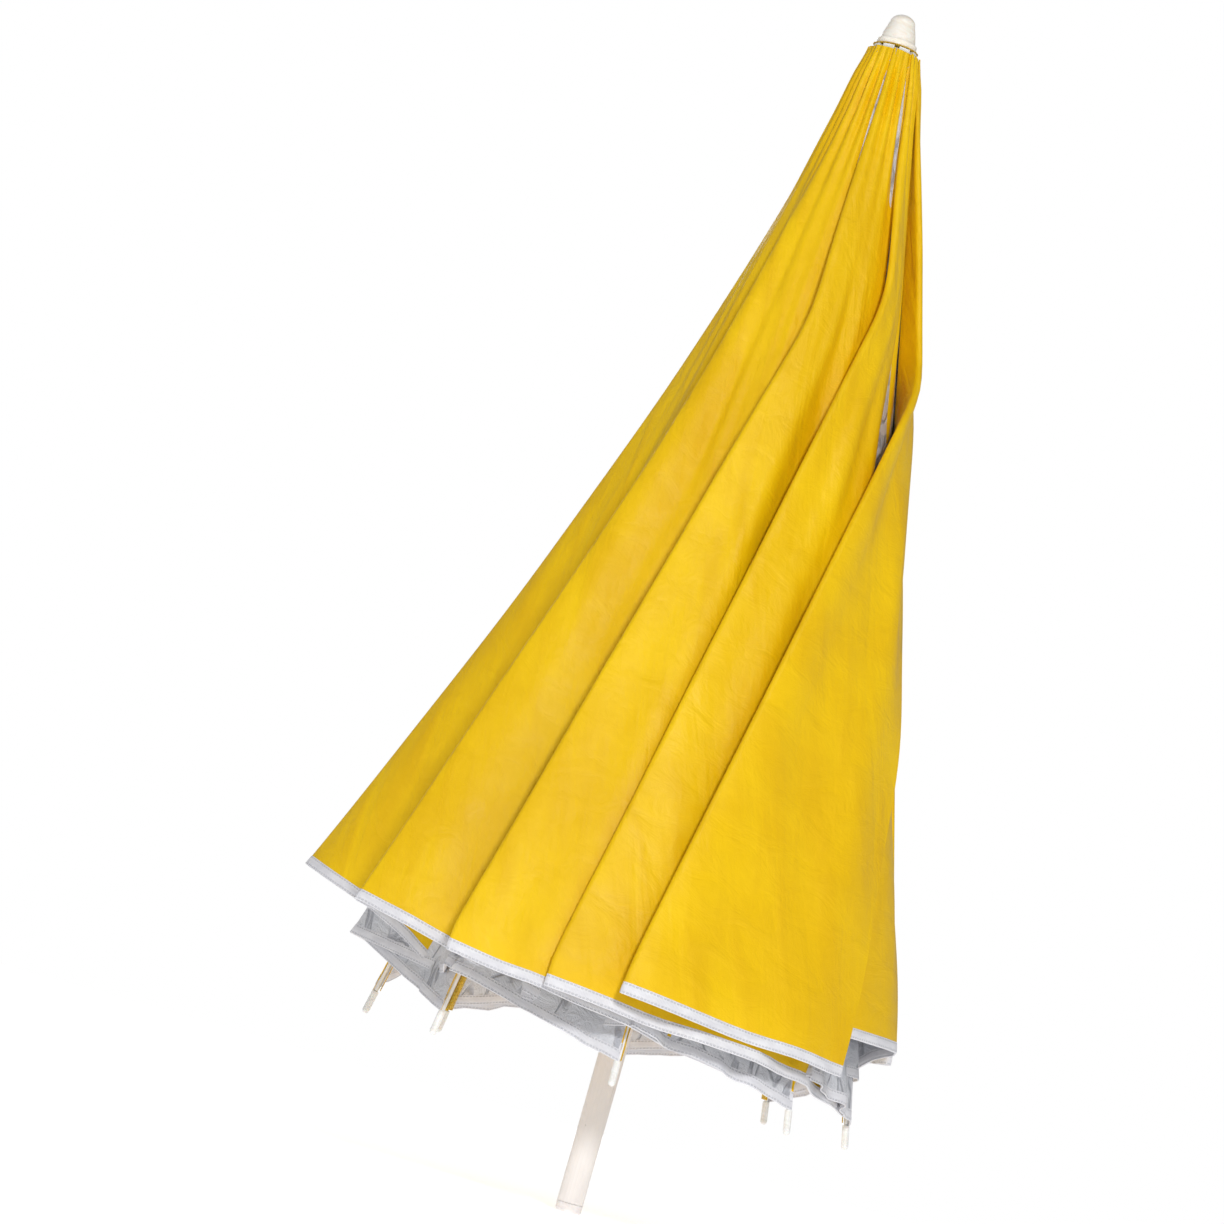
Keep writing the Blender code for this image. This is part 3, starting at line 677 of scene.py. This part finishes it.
def with_return(gore, grid, count=6):
    """Adds a rounded fold to the grid's last column and the cloth that runs back from it beneath the
    flap: high up it reaches the gore's first rib, and lower down it is a narrow strip."""
    edge = grid[:, -1]
    tangent = edge - grid[:, -3]
    tangent /= np.linalg.norm(tangent, axis=1, keepdims=True)
    size = CURL * smooth01(np.linspace(0, 1, len(grid)) / 0.12)[:, None] + 0.0003
    inward = np.cross(np.gradient(edge, axis=0), tangent)
    inward /= np.linalg.norm(inward, axis=1, keepdims=True)
    extra = []
    for turn in np.linspace(0, math.pi, count)[1:]:
        extra.append(edge + size * (math.sin(turn) * tangent + (1 - math.cos(turn)) * inward))
    start = extra[-1]
    rib = rib_azimuth(gore + 1) + 0.03
    radius = on_ribs(CLOTH_TOP_Z - start[:, 2]) + 0.0022
    foot = np.stack([radius * math.cos(rib), radius * math.sin(rib), start[:, 2]], 1) - start
    gap = np.linalg.norm(foot, axis=1, keepdims=True)
    far = smooth01((gap - 0.060) / 0.050)
    run = np.minimum(0.96 * gap, 0.96 * gap * (1 - far) + LEAST_RETURN * far)
    way = foot / np.maximum(gap, 1e-6) * (1 - far) - tangent * far
    way /= np.linalg.norm(way, axis=1, keepdims=True)
    for step in np.arange(1, RETURN_STEPS + 1) / RETURN_STEPS:
        extra.append(start + way * run * step)
    return np.concatenate([grid, np.stack(extra, 1)], 1)


# ---- Canopy when opened

ROWS = 68  # of each grid, above the tape
TAPE_ROWS = 4
TAPE_SIDES = 8  # points round the tape
COLUMNS = 30
UV_STEP = 0.003  # from column to column, round the fold
INNER_UV_SHIFT = 5
RETURN_DEPTH = 0.0045  # of the cloth that runs back, beneath the opened gore
HIGH_TUCK = 0.003  # of the inner halves, inside the circle of the ribs high up

# The shares of a turn that are tried, and how far from the first guess an inner half's is looked for
SHARES_TRIED = 81
LEAST_SHARE = 0.3
SEARCH_IN, SEARCH_OUT = 0.13, 0.10


def rotated(points, axis, anchor, angle):
    """Points turned about an axis through an anchor; the angle may differ from point to point."""
    axis = np.asarray(axis, float) / np.linalg.norm(axis)
    anchor = np.asarray(anchor, float)
    angle = np.asarray(angle, float)[..., None]
    arm = points - anchor
    along = (arm @ axis)[..., None] * axis
    return anchor + along + (arm - along) * np.cos(angle) + np.cross(axis, arm) * np.sin(angle)


def opened(points, number, turn=FOLD_TURN):
    joint = JOINTS[f"fold_{number}"]
    return rotated(points, joint["axis"], joint["pos_m"], np.full(points.shape[:-1], turn))


def hinge_of(number):
    return np.array(JOINTS[f"fold_{number}"]["pos_m"])


def rib_line(number):
    """The direction of a rib at rest."""
    azimuth = rib_azimuth(number)
    out = math.sin(RIB_ANGLE)
    return np.array([out * math.cos(azimuth), out * math.sin(azimuth), -math.cos(RIB_ANGLE)])


class OpenGore:
    """The surface of a gore of the opened umbrella, in its opened place."""

    def __init__(self, gore):
        self.a, self.b = gore + 1, (gore + 1) % GORES + 1
        self.hinge_a, self.hinge_b = hinge_of(self.a), hinge_of(self.b)
        far = HEM_ON_RIB
        self.end_a = opened((self.hinge_a + rib_line(self.a) * far)[None], self.a)[0]
        self.end_b = opened((self.hinge_b + rib_line(self.b) * far)[None], self.b)[0]
        self.along_a = (self.end_a - self.hinge_a) / far
        self.along_b = (self.end_b - self.hinge_b) / far
        normal = np.cross(self.along_a, self.along_b)
        normal /= np.linalg.norm(normal)
        self.normal = normal if normal[2] > 0 else -normal
        self.origin = self.hinge_b + self.normal * LYING

    def sag(self, points):
        """How far the cloth hangs below the plane of its two ribs."""
        arm = points - self.hinge_b
        away_b = np.linalg.norm(np.cross(arm, self.along_b), axis=-1)
        away_a = np.linalg.norm(np.cross(points - self.hinge_a, self.along_a), axis=-1)
        reach = np.linalg.norm(arm, axis=-1)
        share = away_b / np.maximum(away_a + away_b, 1e-9)
        return OPEN_SAG * np.minimum(1.05, reach / HEM_ON_RIB) * np.sin(math.pi * share)

    def height(self, points):
        return (points - self.origin) @ self.normal + self.sag(points)


def outer_shares(gore, grid, v, below=0.0):
    """For each point of an outer half, the share of its body's turn that lays it on the opened gore,
    or at a depth below that."""
    target = OpenGore(gore)
    turn = JOINTS[f"outer_turn_{gore + 1}"]
    most = math.radians(turn["range_deg"][1])
    best = np.full(grid.shape[:2], 1.0)
    least = np.full(grid.shape[:2], 9.0)
    found = np.zeros(grid.shape[:2], bool)
    before = None
    for share in np.linspace(0, 1, SHARES_TRIED):
        moved = rotated(grid, turn["axis"], turn["pos_m"], np.full(grid.shape[:2], share * most))
        height = target.height(opened(moved, target.b)) + below
        closer = (np.abs(height) < least) & ~found
        best = np.where(closer, share, best)
        least = np.where(closer, np.abs(height), least)
        if before is not None:
            crossed = (height * before[1] <= 0) & ~found
            part = before[1] / np.where(np.abs(before[1] - height) < 1e-12, 1, before[1] - height)
            best = np.where(crossed, before[0] + (share - before[0]) * np.clip(part, 0, 1), best)
            found |= crossed
        before = (share, height)
    for _ in range(3):
        padded = np.pad(best, 1, mode="edge")
        blurred = (padded[:-2, 1:-1] + padded[2:, 1:-1] + padded[1:-1, :-2] + padded[1:-1, 2:]) / 4
        near_rib = 1 - smooth01((v - 0.12) / 0.1)
        best = best + (blurred - best) * 0.5 * near_rib
    return best * smooth01(v / 0.06)


def inner_grids(gore, edge, u, v):
    """The inner half as opened, from its first rib to just beneath the outer half's edge, then turned
    back about the rib to its gathered place. Gives that, the shares of its turn and the opened grid."""
    target = OpenGore(gore)
    turn = JOINTS[f"inner_turn_{gore + 1}"]
    most = math.radians(turn["range_deg"][1])
    seam = target.hinge_a + target.along_a * (HEM_ON_RIB * u[:, :1])[..., None] + target.normal * LYING
    reach = edge[:, None] - seam
    size = np.linalg.norm(reach, axis=-1, keepdims=True)
    flat = seam + reach * (1 + INNER_OVERLAP / np.maximum(size, 0.02)) * v[..., None]
    level = (flat - target.origin) @ target.normal
    near_rib = size[..., 0] * v
    tuck = np.where(v > 0, SEAM_TUCK * (1 - smooth01((near_rib - 0.02) / 0.06)), 0.0)
    below = np.where(v > 0, INNER_DEPTH * (1 + smooth01((v - 0.7) / 0.3)), 0.0)
    flat = flat - (level + target.sag(flat) + below + tuck)[..., None] * target.normal
    closed = opened(flat, target.a, -FOLD_TURN)
    arm = closed - target.hinge_a
    line = rib_line(target.a)
    along = arm @ line
    away = np.linalg.norm(arm - along[..., None] * line, axis=-1)
    radius = RING_RADIUS + along * math.sin(RIB_ANGLE)
    lean = np.arcsin(np.clip(away / (2 * radius), 0, 0.97)) - CLOSED_LEAN
    guess = 1 - lean / most
    low, high = np.clip(guess - SEARCH_IN, LEAST_SHARE, 1), np.clip(guess + SEARCH_OUT, LEAST_SHARE, 1)
    for _ in range(16):
        middle = (low + high) / 2
        moved = rotated(closed, turn["axis"], turn["pos_m"], -middle * most)
        outside = inner_excess(gore, moved, away, u) > 0
        low, high = np.where(outside, low, middle), np.where(outside, middle, high)
    shares = (low + high) / 2
    tucked = np.clip(guess - HIGH_TUCK / np.maximum(away, 0.01) / most, LEAST_SHARE, 1)
    shares = tucked + (shares - tucked) * smooth01((u - 0.38) / 0.09)
    shares = np.where(v > 0, shares, 0.0)
    rest = rotated(closed, turn["axis"], turn["pos_m"], -shares * most)
    return rest, shares, flat


def inner_excess(gore, points, away, u):
    """How far points lie outside the place of a gathered inner half: it lies on the layer below, with
    puffs near the hem, and from its fold on its slack is tucked beneath that layer, between the ribs."""
    radius = np.hypot(points[..., 0], points[..., 1])
    azimuth = np.arctan2(points[..., 1], points[..., 0])
    drop = CLOTH_TOP_Z - points[..., 2]
    rib = rib_azimuth(gore + 1)
    passed = np.mod(rib - azimuth + 0.3, 2 * math.pi) - 0.3
    fold_and_shade = rib - fold_azimuth(gore, drop / FOLD_DROP)
    near = 1 - smooth01((passed - 0.40 * fold_and_shade) / (0.30 * fold_and_shade + 0.02))
    near = near * smooth01((u - 0.25) / 0.2)
    between = 1 - (1 - 2 * np.mod(azimuth / STEP, 1)) ** 4
    deep = (1 - near) * (1 - smooth01((u - 0.935) / 0.05)) * (0.0005 + 0.0040 * between)
    hang = smooth01((u - 0.935) / 0.05)
    wave = np.sin(away * 118 + 2.3 * gore) + 0.6 * np.sin(away * 213 - 1.1 * gore + 6 * u)
    puff = hang * (0.004 + 0.0034 * wave) * smooth01(passed / 0.10) * (1 - smooth01((away - 0.16) / 0.05))
    return radius - least_radius(drop, azimuth) - 0.0019 * near + deep - puff


def tape_sections(grid, rows_up, cloth):
    """Closed cross-sections of the tape round a grid's last row, one for each column."""
    normal = normals_of(grid)
    proud = cloth / 2 + TAPE_PROUD
    last, up = grid[-1], grid[-1 - rows_up]
    half = grid[-1 - rows_up // 2]
    beyond = last - up
    beyond /= np.linalg.norm(beyond, axis=1, keepdims=True)
    tip = last + beyond * 0.0006
    n0, n1, n2 = normal[-1], normal[-1 - rows_up // 2], normal[-1 - rows_up]
    return np.stack([
        up + n2 * proud * 0.7, half + n1 * proud, last + n0 * proud, tip + n0 * proud * 0.5,
        tip - n0 * proud * 0.5, last - n0 * proud, half - n1 * proud, up - n2 * proud * 0.7,
    ], 1)


def tape_on(name, grid, rows_up, cloth, look):
    sections = tape_sections(grid, rows_up, cloth)
    run = np.concatenate([[0], np.cumsum(np.linalg.norm(np.diff(grid[-1], axis=0), axis=1))])
    across = np.array([0.0, 0.5, 0.96, 1.0, 1.0, 0.96, 0.5, 0.0])
    uv = np.stack(np.broadcast_arrays(across[None], run[:, None]), -1)
    return closed_strip(name, sections, look, uv)


def cloth_uv(gore, u, v):
    """UVs of about a metre to the unit, so that the weave has its size; each gore has its own place."""
    return np.stack([v * 0.3 * u, u * HEM_ON_RIB], -1) + gore * 0.37


def outer_half(gore, u, v, yellow, silver, tape):
    """Makes a gore's outer half with its tape, and gives its grid when opened."""
    target = OpenGore(gore)
    number = gore + 1
    grid = outer_grid(gore, u, v)
    shares = outer_shares(gore, grid, v)
    turn = JOINTS[f"outer_turn_{number}"]
    turned = rotated(grid, turn["axis"], turn["pos_m"], shares * math.radians(turn["range_deg"][1]))
    flat = opened(turned, target.b)

    curled = with_return(gore, grid)
    extra = curled.shape[1] - grid.shape[1]
    tail_shares = outer_shares(gore, curled[:, -extra:], np.ones((len(grid), extra)), RETURN_DEPTH)
    ease = np.clip((np.arange(1, extra + 1) - 4) / 5, 0, 1)
    tail_shares = shares[:, -1:] + (tail_shares - shares[:, -1:]) * ease
    shares = np.concatenate([shares, np.clip(tail_shares, 0, 1)], 1)[:, ::-1]
    uv = cloth_uv(gore, u, v)
    tail = np.stack([np.repeat(uv[:, -1:, 0], extra, 1) + np.arange(1, extra + 1) * UV_STEP,
                     np.repeat(uv[:, -1:, 1], extra, 1)], -1)
    uv = np.concatenate([uv, tail], 1)

    sheet = shell(f"canopy_outer_cloth_{number}", curled[:, ::-1], CLOTH, [yellow, silver], uv[:, ::-1])
    bend(sheet, np.tile(shares.ravel(), 2))
    binding = tape_on(f"hem_tape_outer_{number}", curled[:, ::-1], TAPE_ROWS, CLOTH, tape)
    bend(binding, np.repeat(shares[-1], TAPE_SIDES))
    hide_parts(f"canopy_outer_{number}")
    return flat


def inner_half(gore, edge, u, v, yellow, silver, tape):
    """Makes a gore's inner half with its tape, from the opened edge of the outer half."""
    target = OpenGore(gore)
    number = gore + 1
    rest, shares, flat = inner_grids(gore, edge, u, v)
    uv = cloth_uv(gore, u, v) + INNER_UV_SHIFT
    sheet = shell(f"canopy_inner_cloth_{number}", rest, INNER_CLOTH, [yellow, silver], uv)
    bend(sheet, np.tile(shares.ravel(), 2))
    binding = tape_on(f"hem_tape_inner_{number}", rest, TAPE_ROWS, INNER_CLOTH, tape)
    bend(binding, np.repeat(shares[-1], TAPE_SIDES))
    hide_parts(f"canopy_inner_{number}")


def canopy(yellow, silver, tape):
    """All the gores, on grids whose last rows are as high as the tape."""
    hem = 1 - TAPE_WIDTH / 0.86
    down = np.concatenate([np.linspace(0.004, hem, ROWS, endpoint=False), np.linspace(hem, 1, TAPE_ROWS + 1)])
    inner_across = np.concatenate([[0], np.linspace(0.03, 1, COLUMNS + 6)])
    for gore in range(GORES):
        u, v = np.meshgrid(down, np.linspace(0, 1, COLUMNS), indexing="ij")
        flat = outer_half(gore, u, v, yellow, silver, tape)
        u, v = np.meshgrid(down, inner_across, indexing="ij")
        inner_half(gore, flat[:, -1], u, v, yellow, silver, tape)


def rib_seams(look):
    """A felled seam over each rib, down to the hem."""
    across = np.array([-1, -0.72, 0, 0.72, 1, 0.7, 0, -0.7])
    up = np.array([-0.1, 0.75, 1, 0.75, -0.1, -0.35, -0.35, -0.35])
    for number in range(1, GORES + 1):
        azimuth = rib_azimuth(number)
        line = rib_line(number)
        side = np.array([-math.sin(azimuth), math.cos(azimuth), 0])
        out = np.cross(side, line)
        run = np.linspace(0.012, HEM_ON_RIB - 0.002, 90)
        wave = 0.00025 * np.sin(run * 310 + number) + 0.0002 * np.sin(run * 97 + 2 * number)
        centre = hinge_of(number) + line * run[:, None] + out * (LYING + CLOTH / 2)
        half = 0.0032 + wave
        sideways = side * (across * half[:, None])[..., None]
        points = centre[:, None] + sideways + out * (up * 0.0006)[None, :, None]
        share = (across + 1) / 2
        uv = np.stack(np.broadcast_arrays(share[None], run[:, None] + number), -1)
        seam = closed_strip(f"rib_seam_{number}", points, look, uv)
        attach(seam, f"rib_{number}")


def top_patch(look):
    """The round cloth patch under the cap, with a puckered edge."""
    low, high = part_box("canopy_top_patch")
    inner, outer = 0.0114, high.x - 0.0002
    around = 160
    turn = 2 * math.pi * np.arange(around) / around
    pucker = np.cos(turn * GATHERS) * 0.00018
    top, bottom = high.z - 0.00035, low.z + 0.0003
    section = (
        (inner, top), (outer - 0.002, top), (outer - 0.0006, top - 0.0002),
        (outer, (top + bottom) / 2), (outer - 0.0006, bottom), (inner, bottom),
    )
    rows = []
    for radius, height in section:
        lift = pucker * (radius - inner) / (outer - inner)
        r = radius + lift
        rows.append(np.stack([r * np.cos(turn), r * np.sin(turn), height + lift], -1))
    sections = np.stack(rows, 1)
    index = np.arange(around * len(section)).reshape(around, len(section))
    following = np.roll(index, -1, axis=0)
    faces = np.stack([index, following, np.roll(following, -1, 1), np.roll(index, -1, 1)], 2).reshape(-1, 4)
    uv = np.stack([sections[..., 0], sections[..., 1]], -1)
    patch = piece_from("top_patch_cloth", sections.reshape(-1, 3), faces, [look], None, uv.reshape(-1, 2))
    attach(patch, "pole")
    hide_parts("canopy_top_patch")


def cap(look):
    """The moulded cap: a flange with a soft lip, a short neck and a rounded nose."""
    low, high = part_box("finial_cap")
    base, crest = low.z, high.z
    outline = [(0, base + 0.0103), (0.0113, base + 0.0103), (0.0113, base), (0.0162, base)]
    for angle in np.linspace(-90, 0, 6)[1:]:
        turn = math.radians(angle)
        outline.append((0.0162 + 0.0008 * math.cos(turn), base + 0.0008 + 0.0008 * math.sin(turn)))
    outline += [(0.0170, base + 0.0040)]
    for angle in np.linspace(0, 90, 6)[1:]:
        turn = math.radians(angle)
        outline.append((0.0160 + 0.0010 * math.cos(turn), base + 0.0040 + 0.0010 * math.sin(turn)))
    outline += [(0.0153, base + 0.0052), (0.0150, base + 0.0060)]
    nose = crest - 0.0081
    for share in np.linspace(0, 1, 8)[1:]:
        outline.append((0.0150 - 0.0042 * share ** 1.25, base + 0.0060 + (nose - base - 0.0060) * share))
    for angle in np.linspace(0, 90, 12)[1:]:
        turn = math.radians(angle)
        outline.append((0.0108 * math.cos(turn) if angle < 90 else 0, nose + (crest - nose) * math.sin(turn)))
    piece = lathe("finial_cap_moulding", outline[::-1], look)
    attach(piece, "pole")
    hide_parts("finial_cap")


def finish_cad(looks):
    """Gives each CAD node that stays its detailed material."""
    kinds = (
        ("pole_tube", "pole"), ("pole_plug", "plug"), ("crown_hub", "hub"), ("crown_wire", "wire"),
        ("rib_tip", "tip"), ("rib_bracket", "wire"), ("rib_", "rib"), ("stretcher", "rib"),
        ("runner_wire", "wire"), ("runner", "hub"), ("latch_pin", "wire"), ("latch_lever", "tip"),
    )
    for name, node in frame["nodes"].items():
        for start, kind in kinds:
            if name.startswith(start):
                node.data.materials.clear()
                node.data.materials.append(looks[kind])
                break


place_camera()
studio()
LOOKS = {
    "pole": paint("pole_powder_coat", rgb(238, 236, 236), rgb(222, 218, 218), 0.32, 0.02),
    "rib": paint("rib_paint", rgb(236, 236, 234), rgb(214, 213, 209), 0.38, 0.05),
    "plug": plastic("plug_plastic", rgb(236, 234, 236), rgb(224, 220, 220), 0.42),
    "hub": plastic("hub_plastic", rgb(238, 238, 234), rgb(226, 224, 214), 0.42),
    "tip": plastic("tip_plastic", rgb(240, 240, 238), rgb(228, 226, 220), 0.40),
    "cap": plastic("cap_plastic", rgb(250, 246, 238), rgb(242, 228, 206), 0.36),
    "wire": wire_steel("galvanised_wire"),
}
finish_cad(LOOKS)
YELLOW = taffeta("yellow_taffeta")
canopy(YELLOW, lining(), hem_tape())
rib_seams(seam_cloth())
top_patch(YELLOW)
cap(LOOKS["cap"])
